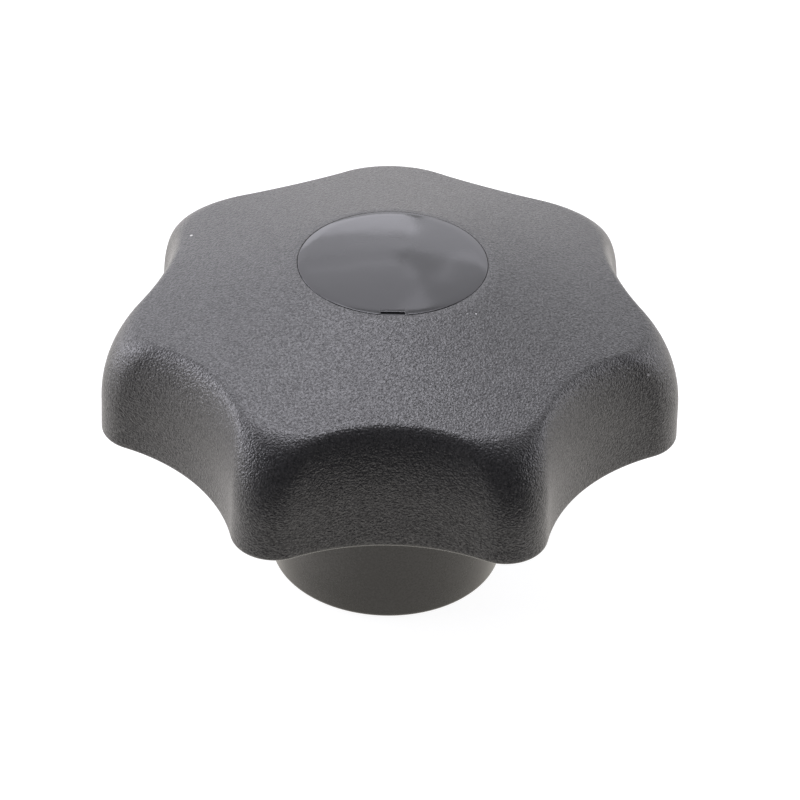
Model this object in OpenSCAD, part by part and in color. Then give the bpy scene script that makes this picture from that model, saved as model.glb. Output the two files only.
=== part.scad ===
// Star knob: a moulded grip with seven lobes on a round foot, hollow from below, with a
// moulded-in bush that has a blind tapped hole, and a snap-in cap on top.
// Millimetres. The origin is the centre of the foot's bottom face, and +Z is the screw's axis.

/* [Grip] */
// Diameter over the lobe tips, at the rim
grip_d = 63; // [56:0.5:72]
// Number of lobes
lobes = 7; // [5:1:9]
// Radius of a lobe's tip at the rim, seen from above
lobe_r = 4.6; // [3.8:0.1:6]
// Radius of the hollow between two lobes, seen from above
valley_r = 21.5; // [16:0.5:30]
// Height of the grip, from its rim to the edge of the cap
grip_h = 17.7; // [16:0.1:22]
// Fall of the crown towards the lobes, in degrees
crown_slope = 14.7; // [8:0.1:17]
// Draft of the side wall, in degrees
wall_draft = 0.7; // [0:0.1:2]
// Radius on the lower edge of the rim
rim_edge_r = 0.3; // [0.1:0.1:0.8]

/* [Shoulder] */
// Width of the rounded shoulder at a lobe's tip
shoulder_tip_w = 4.8; // [3:0.1:7]
// Width of the rounded shoulder in a valley
shoulder_valley_w = 2.1; // [1.5:0.1:4]
// Height of the rounded shoulder at a lobe's tip
shoulder_tip_h = 8.4; // [5:0.1:10]
// Height of the rounded shoulder in a valley
shoulder_valley_h = 8; // [3:0.1:10]
// Fullness of the shoulder's curve, where 2 is an ellipse
shoulder_power = 2.1; // [1.6:0.1:2.6]

/* [Foot] */
// Diameter of the foot at its lower end, over its edge radius
foot_d = 25.8; // [22:0.2:30]
// Height of the foot below the grip's rim
foot_h = 20.3; // [14:0.1:30]
// Draft of the foot, in degrees
foot_draft = 1.1; // [0:0.1:2]
// Radius on the foot's lower edge
foot_edge_r = 0.4; // [0.1:0.1:1]

/* [Hollow underside] */
// Thickness of the side wall
wall_t = 3; // [2:0.1:3.6]
// Thickness of the roof under the crown
roof_t = 3.4; // [2.5:0.1:5]
// Thickness of a rib
rib_t = 2.5; // [1.5:0.1:4]
// How far the ribs stay above the rim
rib_setback = 1.5; // [0.5:0.1:4]

/* [Bush] */
// Minor diameter of the tapped hole, for an M12 screw
hole_d = 10.2; // [8.5:0.1:12]
// Depth of the tapped hole, without its drill point
hole_depth = 20; // [12:0.5:23]
// Chamfer at the mouth of the hole
hole_chamfer = 0.5; // [0.2:0.1:0.5]
// Angle of the drill point
drill_angle = 118; // [90:1:140]
// Outer diameter of the bush
bush_d = 16; // [14.5:0.5:18]
// Length of the bush
bush_len = 25; // [24:0.5:30]
// Width of a retaining groove round the bush
groove_w = 3; // [1:0.1:4]
// Depth of a retaining groove
groove_t = 0.8; // [0.3:0.1:1.2]
// Number of retaining grooves
grooves = 3; // [1:1:4]

/* [Cap] */
// Diameter of the cap
cap_d = 20.1; // [18.5:0.1:23]
// Thickness of the cap at its edge
cap_t = 1.6; // [1:0.1:2.5]
// Rise of the cap's face at its centre
cap_rise = 0.4; // [0.1:0.1:1]
// Gap all round the cap
seam_gap = 0.1; // [0.05:0.01:0.3]
// Outer diameter of the skirt that holds the cap
skirt_d = 15; // [12:0.5:17]
// Thickness of the skirt
skirt_t = 1.2; // [0.8:0.1:2]
// Length of the skirt
skirt_len = 3; // [2:0.1:4]
// How far the snap bead stands out of the skirt
bead_out = 0.25; // [0.1:0.05:0.4]
// Clearance round the skirt and its bead
skirt_gap = 0.05; // [0.02:0.01:0.15]
// Width of the prising notch in the cap's edge
notch_w = 2.7; // [1.5:0.1:4]
// Depth of the prising notch
notch_t = 0.7; // [0.4:0.1:1.2]

/* [Hidden] */
$fn = 96;

// the front of the knob is -Y, and a valley faces it
first_lobe_at = 90;
front = -90;
overlap = 1;

lobe_pitch = 360 / lobes;
half_pitch = lobe_pitch / 2;
grip_r = grip_d / 2;
lobe_centre_r = grip_r - lobe_r;
valley_centre_r = lobe_centre_r * cos(half_pitch)
    + sqrt(pow(lobe_r + valley_r, 2) - pow(lobe_centre_r * sin(half_pitch), 2));
valley_centre = valley_centre_r * [cos(half_pitch), sin(half_pitch)];

rim_z = foot_h;
crown_edge_z = rim_z + grip_h;
cap_r = cap_d / 2;
recess_r = cap_r + seam_gap;
cap_seat_z = crown_edge_z - cap_t;
skirt_r = skirt_d / 2;
skirt_end_z = cap_seat_z - skirt_len;
wall_inset = tan(wall_draft) * grip_h / 2;

// points on half a lobe's arc and on half a valley's arc, and rings on the rounded edges
arc_steps = 7;
rim_steps = 2;
shoulder_steps = 9;
edge_steps = 4;
face_steps = 6;

// height of the crown's cone at a radius
function crown_z(r) = crown_edge_z - tan(crown_slope) * (r - cap_r);

// Half a lobe and half a valley, from the tip on the X axis to the valley's middle: two
// arcs that touch. The tip lies tip_in inside the rim's outline, the valley valley_in.
function half_outline(tip_in, valley_in) =
    let (
        tip = grip_r - tip_in,
        vr = valley_r + valley_in,
        dx = valley_centre.x - tip,
        lr = (dx * dx + pow(valley_centre.y, 2) - vr * vr) / (2 * (vr - dx)),
        centre = [tip - lr, 0],
        to_valley = valley_centre - centre,
        turn = atan2(to_valley.y, to_valley.x)
    )
    concat(
        [for (i = [0 : arc_steps - 1])
            let (a = turn * i / arc_steps) centre + lr * [cos(a), sin(a)]],
        [for (i = [0 : arc_steps])
            let (a = 180 + turn + (half_pitch - turn) * i / arc_steps)
            valley_centre + vr * [cos(a), sin(a)]]
    );

// one closed outline of the star, from the half outline and its mirror image
function outline(tip_in, valley_in) =
    let (
        half = half_outline(tip_in, valley_in),
        last = len(half) - 1,
        sector = concat([for (i = [last - 1 : -1 : 1]) [half[i].x, -half[i].y]], half)
    )
    [for (k = [0 : lobes - 1], p = sector)
        let (a = first_lobe_at + k * lobe_pitch)
        [p.x * cos(a) - p.y * sin(a), p.x * sin(a) + p.y * cos(a)]];

// height of the shoulder at a point: full at a lobe's tip, less in a valley
function shoulder_h(p) =
    let (tipness = 0.5 + 0.5 * cos(lobes * (atan2(p.y, p.x) - first_lobe_at)))
    shoulder_valley_h + (shoulder_tip_h - shoulder_valley_h) * tipness;

// puts an outline a share of the shoulder's height below the crown
function below_crown(points, share) =
    [for (p = points) [p.x, p.y, crown_z(norm(p)) - share * shoulder_h(p)]];

function rim_ring(t) =
    let (inset = rim_edge_r * (1 - sin(t)), z = rim_z + rim_edge_r * (1 - cos(t)))
    [for (p = outline(inset, inset)) [p.x, p.y, z]];

function shoulder_ring(t) =
    let (
        inwards = 1 - pow(cos(t), 2 / shoulder_power),
        drop = 1 - pow(sin(t), 2 / shoulder_power)
    )
    below_crown(outline(wall_inset + shoulder_tip_w * inwards,
                        wall_inset + shoulder_valley_w * inwards), drop);

// A solid skinned over rings of equally many points, from the bottom ring to the top one,
// and closed by a fan to a point on the axis at each end.
module skin(rings, bottom_z, top_z) {
    n = len(rings[0]);
    top = (len(rings) - 1) * n;
    bottom_point = len(rings) * n;
    polyhedron(
        points = concat([for (ring = rings, p = ring) p], [[0, 0, bottom_z], [0, 0, top_z]]),
        faces = concat(
            [for (i = [0 : n - 1]) [i, (i + 1) % n, bottom_point]],
            [for (k = [0 : len(rings) - 2], i = [0 : n - 1], side = [0, 1])
                let (a = k * n + i, b = k * n + (i + 1) % n)
                side == 0 ? [a, a + n, b + n] : [a, b + n, b]],
            [for (i = [0 : n - 1]) [top + (i + 1) % n, top + i, bottom_point + 1]]
        )
    );
}

module grip_blank() {
    skin(concat(
        [for (k = [0 : rim_steps]) rim_ring(90 * k / rim_steps)],
        [for (k = [0 : shoulder_steps]) shoulder_ring(90 * k / shoulder_steps)]
    ), rim_z, crown_z(0));
}

// the star's inside, one wall thickness in from the rim's outline
module inner_star() {
    touch = atan2(valley_centre.y, valley_centre.x - lobe_centre_r);
    inner_lobe_r = lobe_r - wall_t;
    difference() {
        union() {
            polygon([for (k = [0 : lobes - 1], side = [-1, 1])
                let (a = first_lobe_at + k * lobe_pitch)
                lobe_centre_r * [cos(a), sin(a)]
                    + inner_lobe_r * [cos(a + side * touch), sin(a + side * touch)]]);
            for (k = [0 : lobes - 1])
                rotate(first_lobe_at + k * lobe_pitch)
                    translate([lobe_centre_r, 0]) circle(r = inner_lobe_r);
        }
        for (k = [0 : lobes - 1])
            rotate(first_lobe_at + (k + 0.5) * lobe_pitch)
                translate([valley_centre_r, 0]) circle(r = valley_r + wall_t);
    }
}

// The hollow under the grip: its ceiling follows the crown, and falls inside the lobes
// so that the shoulder keeps its thickness.
module hollow() {
    haunch_r = valley_centre_r - valley_r - wall_t - shoulder_valley_w / 2;
    intersection() {
        translate([0, 0, rim_z - overlap])
            linear_extrude(height = grip_h + overlap) inner_star();
        rotate_extrude() polygon([
            [0, rim_z - 2 * overlap],
            [grip_r, rim_z - 2 * overlap],
            [grip_r, crown_z(grip_r) - shoulder_tip_h],
            [haunch_r, crown_z(haunch_r) - roof_t],
            [0, crown_z(0) - roof_t]
        ]);
    }
}

// the foot, which runs on up inside the hollow as the knob's core
module foot() {
    core_z = crown_z(foot_d / 2) - roof_t / 2;
    foot_r = foot_d / 2;
    rotate_extrude() polygon(concat(
        [[0, 0]],
        [for (k = [0 : edge_steps]) let (t = 90 * k / edge_steps)
            [foot_r - foot_edge_r * (1 - sin(t)), foot_edge_r * (1 - cos(t))]],
        [[foot_r + tan(foot_draft) * (core_z - foot_edge_r), core_z], [0, core_z]]
    ));
}

// one rib to each valley, from the core to the side wall, with its top inside the roof
module ribs() {
    rib_out = valley_centre_r - valley_r - wall_t / 2;
    rib_z = rim_z + rib_setback;
    for (k = [0 : lobes - 1])
        rotate([90, 0, first_lobe_at + (k + 0.5) * lobe_pitch])
            linear_extrude(height = rib_t, center = true)
                polygon([
                    [0, rib_z],
                    [rib_out, rib_z],
                    [rib_out, crown_z(rib_out) - roof_t / 2],
                    [0, crown_z(0) - roof_t / 2]
                ]);
}

// outside of the bush, which is also the pocket that it fills in the moulding
module bush_outside() {
    pitch = bush_len / (grooves + 1);
    difference() {
        cylinder(d = bush_d, h = bush_len);
        for (k = [1 : grooves])
            translate([0, 0, k * pitch - groove_w / 2])
                difference() {
                    cylinder(d = bush_d + 2 * overlap, h = groove_w);
                    translate([0, 0, -overlap])
                        cylinder(d = bush_d - 2 * groove_t, h = groove_w + 2 * overlap);
                }
    }
}

// the skirt's outside with its snap bead, or with a gap the socket that takes it
module skirt_outside(gap) {
    r = skirt_r + gap;
    rotate_extrude() polygon([
        [0, skirt_end_z - gap],
        [r - bead_out, skirt_end_z - gap],
        [r, skirt_end_z + bead_out],
        [r + bead_out, skirt_end_z + 2 * bead_out],
        [r, skirt_end_z + 3 * bead_out],
        [r, cap_seat_z + overlap / 2],
        [0, cap_seat_z + overlap / 2]
    ]);
}

module cap_recess() {
    translate([0, 0, cap_seat_z]) cylinder(r = recess_r, h = crown_z(0) - cap_seat_z + overlap);
    skirt_outside(skirt_gap);
}

module knob_body() color([0.25, 0.25, 0.26]) {
    difference() {
        union() {
            difference() {
                grip_blank();
                hollow();
            }
            foot();
            ribs();
        }
        bush_outside();
        cap_recess();
    }
}

module threaded_bush() color([0.78, 0.62, 0.33]) {
    hole_r = hole_d / 2;
    difference() {
        bush_outside();
        cylinder(r = hole_r, h = hole_depth);
        translate([0, 0, -hole_chamfer])
            cylinder(r1 = hole_r + 2 * hole_chamfer, r2 = hole_r, h = 2 * hole_chamfer);
        translate([0, 0, hole_depth])
            cylinder(r1 = hole_r, r2 = 0, h = hole_r / tan(drill_angle / 2));
    }
}

// the cap's disc: its face rises to the centre as part of a large ball
module cap_disc() {
    face_r = (cap_r * cap_r + cap_rise * cap_rise) / (2 * cap_rise);
    rotate_extrude() polygon(concat(
        [[0, cap_seat_z], [cap_r, cap_seat_z]],
        [for (k = [face_steps : -1 : 0]) let (r = cap_r * k / face_steps)
            [r, crown_edge_z + cap_rise - face_r + sqrt(face_r * face_r - r * r)]]
    ));
}

module cap() color([0.3, 0.3, 0.31]) {
    difference() {
        union() {
            cap_disc();
            difference() {
                skirt_outside(0);
                translate([0, 0, skirt_end_z - overlap])
                    cylinder(r = skirt_r - skirt_t, h = skirt_len + overlap);
            }
        }
        rotate(front)
            translate([cap_r - notch_t, -notch_w / 2, cap_seat_z - overlap])
                cube([notch_t + overlap, notch_w, cap_t + 2 * overlap]);
    }
}

knob_body();
threaded_bush();
cap();
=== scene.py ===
"""Looks of the star knob: detailed meshes and materials for its three pieces, floor, light and camera."""

import math

import bpy
import numpy as np
from mathutils import Matrix, Vector


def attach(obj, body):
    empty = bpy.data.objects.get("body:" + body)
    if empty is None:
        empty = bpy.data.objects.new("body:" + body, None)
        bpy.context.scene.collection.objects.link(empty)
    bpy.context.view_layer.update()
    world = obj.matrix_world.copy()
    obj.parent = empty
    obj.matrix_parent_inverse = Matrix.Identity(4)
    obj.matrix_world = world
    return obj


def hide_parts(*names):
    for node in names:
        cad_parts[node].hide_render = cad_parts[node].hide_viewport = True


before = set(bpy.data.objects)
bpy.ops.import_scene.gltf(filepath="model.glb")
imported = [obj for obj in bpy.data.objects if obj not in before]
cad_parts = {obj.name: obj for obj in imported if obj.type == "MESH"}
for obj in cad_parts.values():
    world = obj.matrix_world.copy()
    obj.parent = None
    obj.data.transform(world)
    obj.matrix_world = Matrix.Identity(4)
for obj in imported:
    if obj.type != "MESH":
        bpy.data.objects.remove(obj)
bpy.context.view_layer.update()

MM = 0.001
scene = bpy.context.scene

# Sizes in millimetres and angles in degrees, as in the CAD source
LOBES = 7
FIRST_LOBE_AT = 90.0
GRIP_R = 31.5
LOBE_R = 4.6
VALLEY_R = 21.5
RIM_Z = 20.3
CROWN_EDGE_Z = 38.0
CROWN_SLOPE = math.tan(math.radians(14.7))
SHOULDER_TIP_W = 4.8
SHOULDER_VALLEY_W = 2.1
SHOULDER_TIP_H = 8.4
SHOULDER_VALLEY_H = 8.0
SHOULDER_POWER = 2.1
WALL_INSET = 0.108
FOOT_R = 12.9
FOOT_DRAFT = math.tan(math.radians(1.1))
WALL_T = 3.0
ROOF_T = 3.4
RIB_T = 2.5
RIB_SETBACK = 1.5
HOLE_R = 5.1
HOLE_DEPTH = 20.0
THREAD_R = 6.0
THREAD_PITCH = 1.75
BUSH_R = 8.0
BUSH_LEN = 25.0
CAP_R = 10.05
CAP_T = 1.6
CAP_RISE = 0.4
SKIRT_R = 7.5
SKIRT_T = 1.2
SKIRT_LEN = 3.0
SKIRT_GAP = 0.05
BEAD_OUT = 0.25

# Sizes that differ from the CAD source, or are missing there, for the look alone
RIM_EDGE_R = 0.5
FOOT_EDGE_R = 0.6
INNER_RIM_EDGE_R = 0.25
UNDERSIDE_FILLET = 0.8
SEAM_GAP = 0.04
SEAM_LIP = 0.06
CAP_EDGE_R = 0.08
NOTCH_W = 2.5
NOTCH_T = 0.55
NOTCH_DEPTH = 0.15
RIB_EDGE_R = 0.3
MOUTH_BEVEL = 0.1
BUSH_CLEAR = 0.02
THREAD_MOUTH = 0.2
THREAD_RUN_OUT = 1.5
THREAD_STOPS_SHORT = 1.0
DRILL_POINT_HALF_ANGLE = 59

HALF_PITCH = math.pi / LOBES
SEAT_Z = CROWN_EDGE_Z - CAP_T
SKIRT_END_Z = SEAT_Z - SKIRT_LEN
BEAD = ((0, SKIRT_END_Z + 3 * BEAD_OUT), (BEAD_OUT, SKIRT_END_Z + 2 * BEAD_OUT), (0, SKIRT_END_Z + BEAD_OUT))
LOBE_CENTRE_R = GRIP_R - LOBE_R
VALLEY_CENTRE_R = LOBE_CENTRE_R * math.cos(HALF_PITCH) + math.sqrt(
    (LOBE_R + VALLEY_R) ** 2 - (LOBE_CENTRE_R * math.sin(HALF_PITCH)) ** 2
)
VALLEY_CENTRE = VALLEY_CENTRE_R * np.array([math.cos(HALF_PITCH), math.sin(HALF_PITCH)])
ARC_STEPS = 12


def crown_z(r):
    """Height of the crown's cone at a radius."""
    return CROWN_EDGE_Z - CROWN_SLOPE * (r - CAP_R)


def half_outline(tip_r, lobe_r, valley_r):
    """A lobe's arc and a valley's arc, from the tip to the middle of the valley."""
    centre = np.array([tip_r - lobe_r, 0.0])
    turn = math.atan2(VALLEY_CENTRE[1], VALLEY_CENTRE[0] - centre[0])
    a = turn * np.arange(ARC_STEPS) / ARC_STEPS
    b = math.pi + turn + (HALF_PITCH - turn) * np.arange(ARC_STEPS + 1) / ARC_STEPS
    lobe = centre + lobe_r * np.stack([np.cos(a), np.sin(a)], 1)
    valley = VALLEY_CENTRE + valley_r * np.stack([np.cos(b), np.sin(b)], 1)
    return np.concatenate([lobe, valley])


def all_round(half):
    """A closed outline of the star from half a lobe and half a valley."""
    mirrored = half[-2:0:-1] * [1, -1]
    sector = np.concatenate([mirrored, half])
    rings = []
    for k in range(LOBES):
        a = math.radians(FIRST_LOBE_AT) + 2 * HALF_PITCH * k
        turn = np.array([[math.cos(a), math.sin(a)], [-math.sin(a), math.cos(a)]])
        rings.append(sector @ turn)
    return np.concatenate(rings)


def outline(tip_in, valley_in):
    """The star, moved in by one distance at the lobe tips and another in the valleys."""
    tip = GRIP_R - tip_in
    vr = VALLEY_R + valley_in
    dx = VALLEY_CENTRE[0] - tip
    lr = (dx * dx + VALLEY_CENTRE[1] ** 2 - vr * vr) / (2 * (vr - dx))
    return all_round(half_outline(tip, lr, vr))


RIM = outline(0, 0)
ANGLES = np.arctan2(RIM[:, 1], RIM[:, 0])
ROUND = np.stack([np.cos(ANGLES), np.sin(ANGLES)], 1)


def at(points, z):
    """A ring of points at a height, or at a height for each point."""
    return np.column_stack([points, np.broadcast_to(z, len(points))])


def circle(r, z):
    """A round ring whose points stand at the star's angles."""
    return at(ROUND * r, z)


def radius(points):
    return np.hypot(points[:, 0], points[:, 1])


def grid_faces(rings, n, first=0):
    """Quads between rings of n points each."""
    faces = []
    for k in range(rings - 1):
        a = first + k * n
        for i in range(n):
            j = (i + 1) % n
            faces.append((a + i, a + j, a + n + j, a + n + i))
    return faces


def closed_skin(rings, start, end):
    """One closed surface over rings of equally many points, with a fan to a point at each end."""
    n = len(rings[0])
    points = np.concatenate([*rings, [start], [end]])
    faces = grid_faces(len(rings), n)
    last = (len(rings) - 1) * n
    faces += [((i + 1) % n, i, len(points) - 2) for i in range(n)]
    faces += [(last + i, last + (i + 1) % n, len(points) - 1) for i in range(n)]
    return points, faces


def make_object(name, points, faces, materials, face_material=None, sharp=35):
    mesh = bpy.data.meshes.new(name)
    mesh.from_pydata([tuple(p) for p in np.asarray(points) * MM], [], faces)
    mesh.update()
    for m in materials:
        mesh.materials.append(m)
    if face_material is not None:
        mesh.polygons.foreach_set("material_index", np.asarray(face_material, np.int32))
    mesh.polygons.foreach_set("use_smooth", np.ones(len(mesh.polygons), bool))
    mesh.set_sharp_from_angle(angle=math.radians(sharp))
    obj = bpy.data.objects.new(name, mesh)
    scene.collection.objects.link(obj)
    return obj


# ---- materials ----


def new_material(name):
    material = bpy.data.materials.new(name)
    material.use_nodes = True
    material.node_tree.nodes.clear()
    return material


def add(tree, kind, **settings):
    node = tree.nodes.new(kind)
    for key, value in settings.items():
        setattr(node, key, value)
    return node


def noise(tree, where, scale, detail=2.0, roughness=0.5):
    node = add(tree, "ShaderNodeTexNoise")
    node.inputs["Scale"].default_value = scale
    node.inputs["Detail"].default_value = detail
    node.inputs["Roughness"].default_value = roughness
    tree.links.new(where, node.inputs["Vector"])
    return node.outputs["Fac"]


def ramp(tree, value, low, high, to_low, to_high):
    node = add(tree, "ShaderNodeMapRange", clamp=True)
    for key, v in zip(("From Min", "From Max", "To Min", "To Max"), (low, high, to_low, to_high)):
        node.inputs[key].default_value = v
    tree.links.new(value, node.inputs["Value"])
    return node.outputs["Result"]


def maths(tree, operation, a, b):
    node = add(tree, "ShaderNodeMath", operation=operation)
    for k, v in enumerate((a, b)):
        if isinstance(v, (int, float)):
            node.inputs[k].default_value = v
        else:
            tree.links.new(v, node.inputs[k])
    return node.outputs[0]


def weighted(tree, a, share_a, b, share_b):
    return maths(tree, "ADD", maths(tree, "MULTIPLY", a, share_a), maths(tree, "MULTIPLY", b, share_b))


def blend_colour(tree, fac, a, b):
    node = add(tree, "ShaderNodeMix", data_type="RGBA")
    tree.links.new(fac, node.inputs["Factor"])
    for key, v in (("A", a), ("B", b)):
        socket = next(s for s in node.inputs if s.name == key and s.type == "RGBA")
        if isinstance(v, tuple):
            socket.default_value = (*v, 1)
        else:
            tree.links.new(v, socket)
    return next(s for s in node.outputs if s.type == "RGBA")


def bump(tree, height, distance, strength=1.0, under=None):
    node = add(tree, "ShaderNodeBump")
    node.inputs["Strength"].default_value = strength
    node.inputs["Distance"].default_value = distance
    tree.links.new(height, node.inputs["Height"])
    if under is not None:
        tree.links.new(under, node.inputs["Normal"])
    return node.outputs["Normal"]


def start(name):
    material = new_material(name)
    tree = material.node_tree
    shader = add(tree, "ShaderNodeBsdfPrincipled")
    out = add(tree, "ShaderNodeOutputMaterial")
    tree.links.new(shader.outputs[0], out.inputs["Surface"])
    where = add(tree, "ShaderNodeTexCoord").outputs["Object"]
    return material, tree, shader, where


def grained_plastic():
    """Black moulded plastic with a fine spark-eroded grain that glitters a little."""
    material, tree, shader, where = start("grained_plastic")
    fine = noise(tree, where, GRAIN_FINE, 1.0, 0.5)
    coarse = noise(tree, where, GRAIN_COARSE, 1.0, 0.5)
    glints = noise(tree, where, GRAIN_GLINTS, 1.0, 0.5)
    cloud = noise(tree, where, 90, 3.0, 0.5)
    grain = weighted(tree, fine, 0.65, coarse, 0.35)
    tone = blend_colour(tree, ramp(tree, grain, 0.38, 0.62, 0, 1), GRAIN_LOW, GRAIN_HIGH)
    dust = 0.0
    for spot, r in DUST:
        away = add(tree, "ShaderNodeVectorMath", operation="DISTANCE")
        tree.links.new(where, away.inputs[0])
        away.inputs[1].default_value = Vector(spot) * MM
        dust = maths(tree, "MAXIMUM", maths(tree, "LESS_THAN", away.outputs["Value"], r * MM), dust)
    tone = blend_colour(tree, dust, tone, DUST_COLOUR)
    tree.links.new(tone, shader.inputs["Base Color"])
    tree.links.new(ramp(tree, glints, 0.35, 0.65, 0.30, 0.70), shader.inputs["Specular IOR Level"])
    tree.links.new(ramp(tree, cloud, 0.3, 0.7, 0.35, 0.39), shader.inputs["Roughness"])
    tree.links.new(bump(tree, grain, GRAIN_DEPTH), shader.inputs["Normal"])
    return material


def smooth_plastic():
    """The same plastic where the mould is smooth: foot, rim and underside."""
    material, tree, shader, where = start("smooth_plastic")
    cloud = noise(tree, where, 120, 3.0, 0.5)
    fine = noise(tree, where, 4000, 2.0, 0.5)
    both = weighted(tree, fine, 0.6, cloud, 0.4)
    tone = blend_colour(tree, ramp(tree, both, 0.42, 0.58, 0, 1), SMOOTH_LOW, SMOOTH_HIGH)
    tree.links.new(tone, shader.inputs["Base Color"])
    tree.links.new(ramp(tree, cloud, 0.3, 0.7, 0.24, 0.28), shader.inputs["Roughness"])
    tree.links.new(bump(tree, fine, SMOOTH_DEPTH), shader.inputs["Normal"])
    return material


def cap_plastic():
    """The cap's smooth, slightly wavy face."""
    material, tree, shader, where = start("cap_plastic")
    cloud = noise(tree, where, 150, 2.0, 0.5)
    fine = noise(tree, where, 3000, 2.0, 0.5)
    tone = blend_colour(tree, ramp(tree, cloud, 0.3, 0.7, 0, 1), CAP_LOW, CAP_HIGH)
    tree.links.new(tone, shader.inputs["Base Color"])
    tree.links.new(ramp(tree, cloud, 0.3, 0.7, 0.08, 0.1), shader.inputs["Roughness"])
    waves = bump(tree, cloud, CAP_WAVE_DEPTH)
    tree.links.new(bump(tree, fine, CAP_FINE_DEPTH, 0.5, waves), shader.inputs["Normal"])
    return material


def brass():
    """Turned brass, with fine turning marks."""
    material, tree, shader, where = start("brass")
    shader.inputs["Metallic"].default_value = 1.0
    rings = add(tree, "ShaderNodeTexWave", wave_type="RINGS", rings_direction="Z", wave_profile="SIN")
    rings.inputs["Scale"].default_value = TURNING_MARKS
    rings.inputs["Distortion"].default_value = 1.5
    tree.links.new(where, rings.inputs["Vector"])
    cloud = noise(tree, where, 250, 3.0, 0.5)
    tone = blend_colour(tree, ramp(tree, cloud, 0.3, 0.7, 0, 1), BRASS_LOW, BRASS_HIGH)
    tree.links.new(tone, shader.inputs["Base Color"])
    tree.links.new(ramp(tree, cloud, 0.3, 0.7, 0.24, 0.38), shader.inputs["Roughness"])
    tree.links.new(bump(tree, rings.outputs["Fac"], TURNING_DEPTH, 0.4), shader.inputs["Normal"])
    return material


# Noise and wave scales, per metre
GRAIN_FINE, GRAIN_COARSE, GRAIN_GLINTS = 5200, 2600, 4300
TURNING_MARKS = 1100

# Bump distances, in metres
GRAIN_DEPTH = 0.000115
SMOOTH_DEPTH = 0.000008
CAP_WAVE_DEPTH, CAP_FINE_DEPTH = 0.00003, 0.000004
TURNING_DEPTH = 0.00001

# Light specks of dust that the photograph shows: place and radius in mm
DUST = (
    ((-21.9, 10.4, 34.3), 0.16),
    ((26.8, -10.0, 31.0), 0.14),
    ((8.6, -8.7, 37.4), 0.1),
    ((7.7, -8.9, 37.6), 0.08),
)
DUST_COLOUR = (0.5, 0.49, 0.47)
GRAIN_LOW, GRAIN_HIGH = (0.020, 0.020, 0.020), (0.042, 0.041, 0.040)
SMOOTH_LOW, SMOOTH_HIGH = (0.018, 0.017, 0.016), (0.050, 0.048, 0.045)
CAP_LOW, CAP_HIGH = (0.026, 0.026, 0.028), (0.032, 0.032, 0.034)
BRASS_LOW, BRASS_HIGH = (0.62, 0.44, 0.18), (0.74, 0.55, 0.26)

GRAINED = grained_plastic()
SMOOTH = smooth_plastic()
CAP_SKIN = cap_plastic()
BRASS = brass()

# ---- the moulded grip, with its foot, ribs and hollow ----


def rounded(start_angle, end_angle, steps):
    """Angles in even steps, in radians, for a rounded edge."""
    return [math.radians(start_angle + (end_angle - start_angle) * k / steps) for k in range(steps + 1)]


def shoulder_h(points):
    """The shoulder's height, which grows from the valleys to the lobe tips."""
    angle = np.arctan2(points[:, 1], points[:, 0])
    tipness = 0.5 + 0.5 * np.cos(LOBES * (angle - math.radians(FIRST_LOBE_AT)))
    return SHOULDER_VALLEY_H + (SHOULDER_TIP_H - SHOULDER_VALLEY_H) * tipness


def shoulder_ring(t):
    """One ring of the shoulder, from the wall's top at t = 0 to the crown."""
    inwards = 1 - math.cos(t) ** (2 / SHOULDER_POWER)
    drop = 1 - math.sin(t) ** (2 / SHOULDER_POWER)
    points = outline(WALL_INSET + SHOULDER_TIP_W * inwards, WALL_INSET + SHOULDER_VALLEY_W * inwards)
    return at(points, crown_z(radius(points)) - drop * shoulder_h(points))


def ceiling_z(points):
    """Height of the hollow's ceiling."""
    r = radius(points)
    haunch_r = VALLEY_CENTRE_R - VALLEY_R - WALL_T - SHOULDER_VALLEY_W / 2
    haunch_z = crown_z(haunch_r) - ROOF_T
    edge_z = crown_z(GRIP_R) - SHOULDER_TIP_H
    beyond = haunch_z + (edge_z - haunch_z) * (r - haunch_r) / (GRIP_R - haunch_r)
    return np.where(r < haunch_r, crown_z(r) - ROOF_T, beyond)


def inner_outline(inset):
    """The hollow's star, one wall thickness inside the rim, and further in by inset."""
    half = half_outline(GRIP_R - WALL_T - inset, LOBE_R - WALL_T - inset, VALLEY_R + WALL_T + inset)
    return all_round(half)


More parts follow.
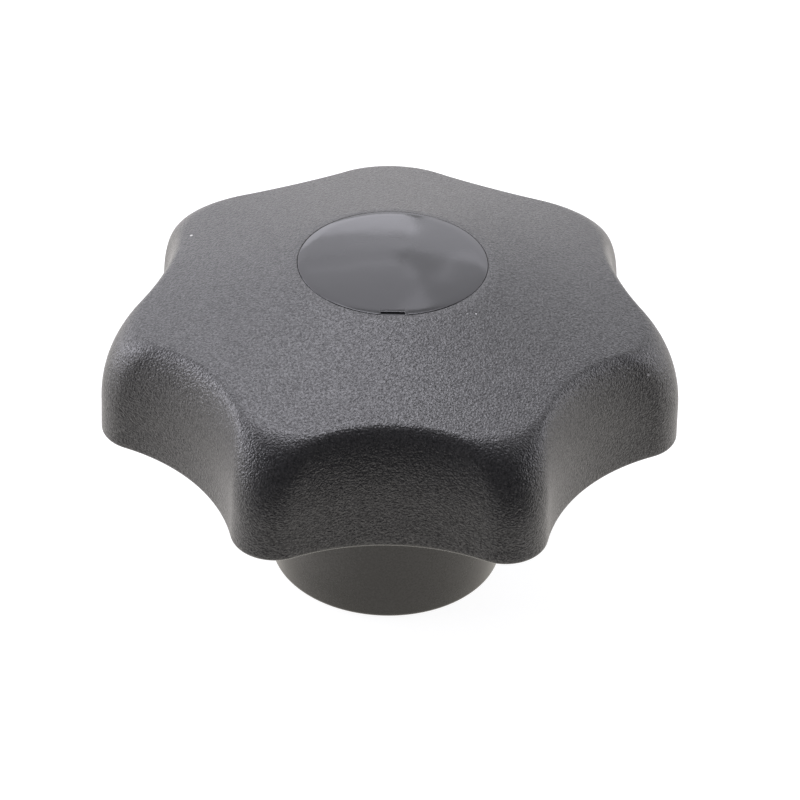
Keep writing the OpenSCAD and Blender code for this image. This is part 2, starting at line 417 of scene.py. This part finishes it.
def grip_rings():
    """Rings over the whole moulding, from the bush's pocket out and up to the cap's socket.

    Also gives the first and the last ring of its grained face.
    """
    foot_top = crown_z(FOOT_R) - ROOF_T
    foot_top_r = FOOT_R + FOOT_DRAFT * foot_top

    # the bush's pocket, the foot's face and the foot
    rings = [circle(0.5 * BUSH_R, BUSH_LEN), circle(BUSH_R, BUSH_LEN), circle(BUSH_R, 0.5 * BUSH_LEN)]
    rings += [circle(BUSH_R, MOUTH_BEVEL), circle(BUSH_R + MOUTH_BEVEL, 0)]
    rings.append(circle(0.5 * (BUSH_R + FOOT_R), 0))
    for t in rounded(0, 90, 6):
        rings.append(circle(FOOT_R - FOOT_EDGE_R * (1 - math.sin(t)), FOOT_EDGE_R * (1 - math.cos(t))))
    for k in range(1, 17):
        z = FOOT_EDGE_R + (foot_top - 1.0 - FOOT_EDGE_R) * k / 16
        rings.append(circle(FOOT_R + FOOT_DRAFT * z, z))

    # the hollow: its ceiling, its wall and the edge of the rim inside it
    fillet = UNDERSIDE_FILLET
    for t in rounded(80, 10, 5):
        z = foot_top - 0.2 - fillet * (1 - math.cos(t))
        rings.append(circle(foot_top_r + fillet * (1 - math.sin(t)), z))
    inner = inner_outline(fillet)
    core = ROUND * (foot_top_r + fillet)
    for k in range(1, 11):
        points = core + (inner - core) * k / 10
        rings.append(at(points, ceiling_z(points)))
    wall = inner_outline(0)
    top = ceiling_z(inner)
    for t in rounded(15, 90, 4):
        points = inner + (wall - inner) * math.sin(t)
        rings.append(at(points, top - fillet * (1 - math.cos(t))))
    edge = INNER_RIM_EDGE_R
    for k in range(1, 7):
        rings.append(at(wall, top - fillet + (RIM_Z + edge - top + fillet) * k / 6))
    for t in rounded(15, 90, 3):
        points = inner_outline(-edge * (1 - math.cos(t)))
        rings.append(at(points, RIM_Z + edge * (1 - math.sin(t))))

    # the rim, the wall, the shoulder and the crown
    rings.append(at(0.5 * (inner_outline(-edge) + outline(RIM_EDGE_R, RIM_EDGE_R)), RIM_Z))
    for t in rounded(0, 90, 7):
        inset = RIM_EDGE_R * (1 - math.sin(t))
        rings.append(at(outline(inset, inset), RIM_Z + RIM_EDGE_R * (1 - math.cos(t))))
    grained_from = len(rings) - 2
    low, high = rings[-1], shoulder_ring(0)
    rings += [low + (high - low) * k / 8 for k in range(1, 8)]
    rings += [shoulder_ring(t) for t in rounded(0, 90, 20)]
    socket_r = CAP_R + SEAM_GAP
    shoulder, inside = rings[-1][:, :2], ROUND * (socket_r + SEAM_LIP)
    for k in range(1, 13):
        points = shoulder + (inside - shoulder) * k / 12
        rings.append(at(points, crown_z(radius(points))))
    grained_to = len(rings) - 1

    # the cap's socket, with the groove for its snap bead
    lip_z = crown_z(socket_r + SEAM_LIP)
    for t in rounded(20, 90, 3):
        rings.append(circle(socket_r + SEAM_LIP * (1 - math.sin(t)), lip_z - SEAM_LIP * (1 - math.cos(t))))
    rings += [circle(socket_r, SEAT_Z), circle(SKIRT_R + SKIRT_GAP, SEAT_Z)]
    for out, z in BEAD:
        rings.append(circle(SKIRT_R + SKIRT_GAP + out, z))
    rings.append(circle(SKIRT_R + SKIRT_GAP - BEAD_OUT, SKIRT_END_Z - SKIRT_GAP))
    rings.append(circle(0.5 * SKIRT_R, SKIRT_END_Z - SKIRT_GAP))
    return rings, grained_from, grained_to


def rib(angle):
    """One rib from the core to a valley's wall, with rounded lower edges and its top inside the roof."""
    inner_r, outer_r = FOOT_R - 0.5, VALLEY_CENTRE_R - VALLEY_R - WALL_T / 2
    half, r, bottom = RIB_T / 2, RIB_EDGE_R, RIM_Z + RIB_SETBACK
    section = [(-half, 1.0, 0)]
    for side in (-1, 1):
        for t in rounded(0, 90, 3)[::-side]:
            section.append((side * (half - r + r * math.sin(t)), 0, r * (1 - math.cos(t))))
    section.append((half, 1.0, 0))
    out = np.array([math.cos(angle), math.sin(angle)])
    across = np.array([-out[1], out[0]])
    points = []
    for radial in np.linspace(inner_r, outer_r, 8):
        top = crown_z(radial) - ROOF_T / 2
        for x, up, lift in section:
            z = top if up else bottom + lift
            points.append([*(out * radial + across * x), z])
    n = len(section)
    faces = grid_faces(8, n)
    faces += [tuple(range(n)), tuple(7 * n + k for k in reversed(range(n)))]
    return np.array(points), faces


def build_grip():
    rings, grained_from, grained_to = grip_rings()
    points, faces = closed_skin(rings, [0, 0, BUSH_LEN], [0, 0, SKIRT_END_Z - SKIRT_GAP])
    n = len(rings[0])
    kinds = [0 if grained_from <= k // n < grained_to else 1 for k in range((len(rings) - 1) * n)]
    kinds += [1] * (2 * n)
    points, faces = [points], list(faces)
    count = len(points[0])
    for k in range(LOBES):
        more, quads = rib(math.radians(FIRST_LOBE_AT) + (2 * k + 1) * HALF_PITCH)
        faces += [tuple(i + count for i in q) for q in quads]
        kinds += [1] * len(quads)
        points.append(more)
        count += len(more)
    grip = make_object("grip", np.concatenate(points), faces, [GRAINED, SMOOTH], kinds)
    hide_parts("knob_body")
    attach(grip, "root")
    return grip


# ---- the snap-in cap ----


def cap_outline():
    """The cap's edge, with its prising notch at the front."""
    half = NOTCH_W / 2
    floor_y = -(CAP_R - NOTCH_T)
    corner = math.asin(half / CAP_R)
    a = -math.pi / 2 + corner + (2 * math.pi - 2 * corner) * np.arange(145) / 144
    arc = CAP_R * np.stack([np.cos(a), np.sin(a)], 1)
    corner_y = -math.sqrt(CAP_R**2 - half**2)
    left = [[-half, corner_y + (floor_y - corner_y) * k / 3] for k in range(1, 3)]
    floor = [[-half + NOTCH_W * k / 8, floor_y] for k in range(9)]
    right = [[half, floor_y + (corner_y - floor_y) * k / 3] for k in range(1, 3)]
    return np.concatenate([arc, left, floor, right])


def inset_outline(points, d):
    """Moves an outline inwards, with mitred corners."""
    ahead = np.roll(points, -1, 0) - points
    ahead /= np.linalg.norm(ahead, axis=1)[:, None]
    normals = np.stack([-ahead[:, 1], ahead[:, 0]], 1)
    before = np.roll(normals, 1, 0)
    mitre = normals + before
    mitre /= (1 + (normals * before).sum(1))[:, None]
    return points + d * mitre


def build_cap():
    edge = cap_outline()
    direction = edge / radius(edge)[:, None]
    face_r = (CAP_R**2 + CAP_RISE**2) / (2 * CAP_RISE)

    def face_z(points):
        return CROWN_EDGE_Z + CAP_RISE - face_r + np.sqrt(face_r**2 - radius(points) ** 2)

    # The face's inner rings have even angles, and turn to the edge's own, so that the notch
    # leaves no mark in the gloss.
    turn = np.unwrap(np.arctan2(edge[:, 1], edge[:, 0]))
    even = np.sign(turn[-1] - turn[0]) * 2 * math.pi * np.arange(len(turn)) / len(turn)
    even += (turn - even).mean()
    rings = []
    for r in (1, 2, 3.5, 5, 6.5, 7.8, 8.6, 9.0):
        angle = even + (turn - even) * (r / 9.2) ** 4
        ring = at(r * np.stack([np.cos(angle), np.sin(angle)], 1), 0)
        ring[:, 2] = face_z(ring)
        rings.append(ring)
    for t in rounded(0, 90, 5):
        points = inset_outline(edge, CAP_EDGE_R * (1 - math.sin(t)))
        rings.append(at(points, face_z(points) - CAP_EDGE_R * (1 - math.cos(t))))
    rings.append(at(edge, CROWN_EDGE_Z - NOTCH_DEPTH))
    rings.append(at(direction * CAP_R, CROWN_EDGE_Z - NOTCH_DEPTH - 0.01))
    rings.append(at(direction * CAP_R, SEAT_Z))
    skirt = [(SKIRT_R, SEAT_Z)] + [(SKIRT_R + out, z) for out, z in BEAD]
    skirt.append((SKIRT_R - BEAD_OUT, SKIRT_END_Z))
    skirt += [(SKIRT_R - SKIRT_T, SKIRT_END_Z), (SKIRT_R - SKIRT_T, SEAT_Z)]
    rings += [at(direction * r, z) for r, z in skirt]
    points, faces = closed_skin(rings[::-1], [0, 0, SEAT_Z], [0, 0, CROWN_EDGE_Z + CAP_RISE])
    cap = make_object("cap_piece", points, faces, [CAP_SKIN])
    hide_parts("cap")
    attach(cap, "root")
    return cap


# ---- the tapped bush ----


def build_bush():
    n = 96
    a = 2 * math.pi * np.arange(n) / n
    around = np.stack([np.cos(a), np.sin(a)], 1)
    mouth_r = THREAD_R + THREAD_MOUTH

    def bore(z):
        """Radius of the thread's flank at each angle, fading out near the thread's end."""
        phase = (z / THREAD_PITCH - a / (2 * math.pi)) % 1
        tooth = np.abs(2 * phase - 1)
        cut = np.clip((tooth - 0.125) / 0.625, 0, 1)
        fade = min(1.0, max(0.0, (HOLE_DEPTH - THREAD_STOPS_SHORT - THREAD_RUN_OUT - z) / THREAD_RUN_OUT))
        return np.maximum(HOLE_R + (THREAD_R - HOLE_R) * cut * fade, mouth_r - z)

    outside, top = BUSH_R - BUSH_CLEAR, BUSH_LEN - BUSH_CLEAR
    body = ((0.5 * outside, top), (outside, top), (outside, MOUTH_BEVEL), (outside - MOUTH_BEVEL, 0))
    rings = [at(around * r, z) for r, z in (*body, (0.5 * (outside + mouth_r), 0))]
    rows = 168
    for k in range(rows + 1):
        z = HOLE_DEPTH * k / rows
        rings.append(at(around * bore(z)[:, None], z))
    depth = HOLE_R / math.tan(math.radians(DRILL_POINT_HALF_ANGLE))
    for k in (1, 2, 3):
        rings.append(at(around * HOLE_R * (1 - k / 4), HOLE_DEPTH + depth * k / 4))
    rings = [r[::-1] for r in rings]
    points, faces = closed_skin(rings[::-1], [0, 0, HOLE_DEPTH + depth], [0, 0, top])
    bush = make_object("bush", points, faces, [BRASS], sharp=28)
    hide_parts("threaded_bush")
    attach(bush, "root")
    return bush


build_grip()
build_cap()
build_bush()

# ---- floor, light and camera ----


def sees_background(tree):
    """1 for the rays that see the background directly, in a gloss or through glass, and 0 for the others."""
    path = add(tree, "ShaderNodeLightPath")
    seen = maths(tree, "MAXIMUM", path.outputs["Is Camera Ray"], path.outputs["Is Glossy Ray"])
    return maths(tree, "MAXIMUM", seen, path.outputs["Is Transmission Ray"])


def build_floor():
    """White paper, which keeps a faint shadow."""
    material = new_material("floor_paper")
    tree = material.node_tree
    diffuse = add(tree, "ShaderNodeBsdfDiffuse")
    diffuse.inputs["Color"].default_value = (*FLOOR_PAPER, 1)
    glow = add(tree, "ShaderNodeEmission")
    place = add(tree, "ShaderNodeNewGeometry")
    away = add(tree, "ShaderNodeVectorMath", operation="LENGTH")
    tree.links.new(place.outputs["Position"], away.inputs[0])
    path = add(tree, "ShaderNodeLightPath")
    camera_ray = path.outputs["Is Camera Ray"]
    near = ramp(tree, away.outputs["Value"], SHADOW_NEAR * MM, SHADOW_FAR * MM, 1 - FLOOR_GLOW, 0.0)
    dimmed = maths(tree, "MULTIPLY", camera_ray, near)
    tree.links.new(maths(tree, "SUBTRACT", sees_background(tree), dimmed), glow.inputs["Strength"])
    tree.links.new(blend_colour(tree, camera_ray, FLOOR_WARM, (1.0, 1.0, 1.0)), glow.inputs["Color"])
    both = add(tree, "ShaderNodeAddShader")
    tree.links.new(diffuse.outputs[0], both.inputs[0])
    tree.links.new(glow.outputs[0], both.inputs[1])
    out = add(tree, "ShaderNodeOutputMaterial")
    tree.links.new(both.outputs[0], out.inputs["Surface"])
    points = [[x * FLOOR_HALF, y * FLOOR_HALF, FLOOR_Z] for x, y in ((-1, -1), (1, -1), (1, 1), (-1, 1))]
    floor = make_object("floor", points, [(0, 1, 2, 3)], [material])


def build_world():
    """White where it is seen; it gives no light of its own."""
    world = bpy.data.worlds.new("studio")
    world.use_nodes = True
    tree = world.node_tree
    tree.nodes.clear()
    background = add(tree, "ShaderNodeBackground")
    tree.links.new(sees_background(tree), background.inputs["Strength"])
    out = add(tree, "ShaderNodeOutputWorld")
    tree.links.new(background.outputs[0], out.inputs["Surface"])
    scene.world = world


def direction(azimuth, elevation):
    """Unit vector; azimuth 0 is behind the knob, 90 to its right, 180 the camera's side."""
    a, e = math.radians(azimuth), math.radians(elevation)
    return Vector((math.sin(a) * math.cos(e), math.cos(a) * math.cos(e), math.sin(e)))


def softbox(name, azimuth, elevation, wide, high, radiance):
    """A rectangular softbox, wide by high degrees seen from the knob; white has a radiance of 1."""
    light = bpy.data.lights.new(name, "AREA")
    light.shape = "RECTANGLE"
    light.color = BOX_COLOUR
    light.size = 2 * BOX_AWAY * MM * math.tan(math.radians(wide / 2))
    light.size_y = 2 * BOX_AWAY * MM * math.tan(math.radians(high / 2))
    light.energy = radiance * light.size * light.size_y * WATTS
    box = bpy.data.objects.new(name, light)
    scene.collection.objects.link(box)
    way = direction(azimuth, elevation)
    box.location = way * BOX_AWAY * MM
    box.rotation_euler = (-way).to_track_quat("-Z", "Y").to_euler()
    box.visible_camera = False


def grey_card(name, grid, albedo):
    """A grey surface of the studio in front of the knob; the camera doesn't see it."""
    material = new_material(name)
    tree = material.node_tree
    diffuse = add(tree, "ShaderNodeBsdfDiffuse")
    diffuse.inputs["Color"].default_value = (albedo, albedo, albedo, 1)
    out = add(tree, "ShaderNodeOutputMaterial")
    tree.links.new(diffuse.outputs[0], out.inputs["Surface"])
    n = len(grid[0])
    faces = [(j * n + i, j * n + i + 1, (j + 1) * n + i + 1, (j + 1) * n + i)
             for j in range(len(grid) - 1) for i in range(n - 1)]
    card = make_object(name, [list(p) for row in grid for p in row], faces, [material])
    card.visible_camera = False


def build_front():
    """What stands on the camera's side: curved grey cards, and the table beyond the white paper."""
    steps = 12

    def card(name, azimuths, elevations):
        grey_card(name, [[direction(a, e) * FRONT_AWAY for a in azimuths] for e in elevations], CARD_ALBEDO)

    azimuths = [180 + FRONT_HALF * (2 * i / steps - 1) for i in range(steps + 1)]
    card("front_card", azimuths, [FRONT_HIGH * j / steps for j in range(steps + 1)])
    for side in (-1, 1):
        turned = [180 + side * (FRONT_HALF + WING * i / steps) for i in range(steps + 1)][::side]
        card("wing", turned, [WING_LOW + (FRONT_HIGH - WING_LOW) * j / steps for j in range(steps + 1)])
    low = Vector((0, 0, TABLE_Z))
    table = [[direction(a, 0) * r + low for a in azimuths] for r in (PAPER_END, FRONT_AWAY)]
    grey_card("front_table", table, TABLE_ALBEDO)


BOX_AWAY = 700
BOX_COLOUR = (0.98, 0.97, 1.07)
WATTS = 3.162  # of a softbox of one square metre, for a radiance of 1

# name, azimuth, elevation, degrees wide, degrees high, radiance
SOFTBOXES = (
    ("top_box_left", -40, 68, 38, 30, 3.6),
    ("top_box", 0, 68, 24, 30, 3.4),
    ("top_box_right", 40, 68, 38, 30, 0.4),
    ("zenith_box", -110, 83, 30, 20, 2.4),
    ("high_box_left", -50, 43.5, 20, 13, 1.1),
    ("high_box", -16, 43.5, 30, 13, 1),
    ("high_box_right", 31, 42.6, 41, 15, 0.6),
    ("sill_box", -9, 32.6, 18, 3.4, 1.2),
    ("sill_box_high", -9.3, 35.7, 17.4, 2.6, 1),
    ("sill_box_right", 4.4, 36.6, 3.8, 5, 0.5),
    ("panel_left", -34, 29, 27, 16, 1.2),
    ("panel", -8.5, 25.7, 19.5, 9.4, 2.3),
    ("panel_right", 24, 28.3, 38, 14.6, 1.25),
    ("low_box_left", -38, 14, 36, 18, 2.0),
    ("low_box", 0, 12, 36, 16, 0.9),
    ("low_box_right", 38, 13, 36, 16, 0.8),
    ("left_box_high", -68, 38, 36, 26, 0.9),
    ("left_box_low", -80, 13, 44, 20, 7.5),
    ("right_box_high", 68, 38, 36, 26, 0.4),
    ("right_box_low", 80, 13, 44, 20, 3),
)

FLOOR_HALF, FLOOR_Z = 3000, -0.05
FLOOR_PAPER = (0.35, 0.35, 0.35)
FLOOR_WARM = (1.05, 1.0, 0.91)  # the glow that a gloss sees in the paper
FLOOR_GLOW = 0.92  # what the camera sees of it near the knob, so that a faint shadow stays
SHADOW_NEAR, SHADOW_FAR = 60, 200

FRONT_HALF, FRONT_HIGH, FRONT_AWAY = 62, 74, 900
WING, WING_LOW = 26, 16
CARD_ALBEDO, TABLE_ALBEDO = 0.28, 0.2
PAPER_END, TABLE_Z = 78, -0.04

build_floor()
build_world()
for box in SOFTBOXES:
    softbox(*box)
build_front()


def build_camera():
    """The camera that the photograph's outline asks for: about 320 mm away, 35.5 degrees up."""
    elevation, roll, turn = (math.radians(a) for a in (35.522, 1.533, -0.998))
    distance, aside, above = 317.84, 1.148, -0.160
    ahead = Vector((0, math.cos(elevation), -math.sin(elevation)))
    flat_right = Vector((1, 0, 0))
    flat_up = flat_right.cross(ahead)
    right = math.cos(roll) * flat_right + math.sin(roll) * flat_up
    up = -math.sin(roll) * flat_right + math.cos(roll) * flat_up
    aim = Vector((0, 0, RIM_Z)) + aside * right + above * up
    place = (aim - distance * ahead) * MM
    axes = Matrix((right, up, -ahead)).transposed()
    data = bpy.data.cameras.new("camera")
    data.sensor_width = 36
    data.lens = 131.23
    data.clip_start = 0.01
    camera = bpy.data.objects.new("camera", data)
    scene.collection.objects.link(camera)
    camera.matrix_world = Matrix.Rotation(turn, 4, "Z") @ Matrix.Translation(place) @ axes.to_4x4()
    scene.camera = camera


build_camera()
scene.view_settings.view_transform = "Standard"
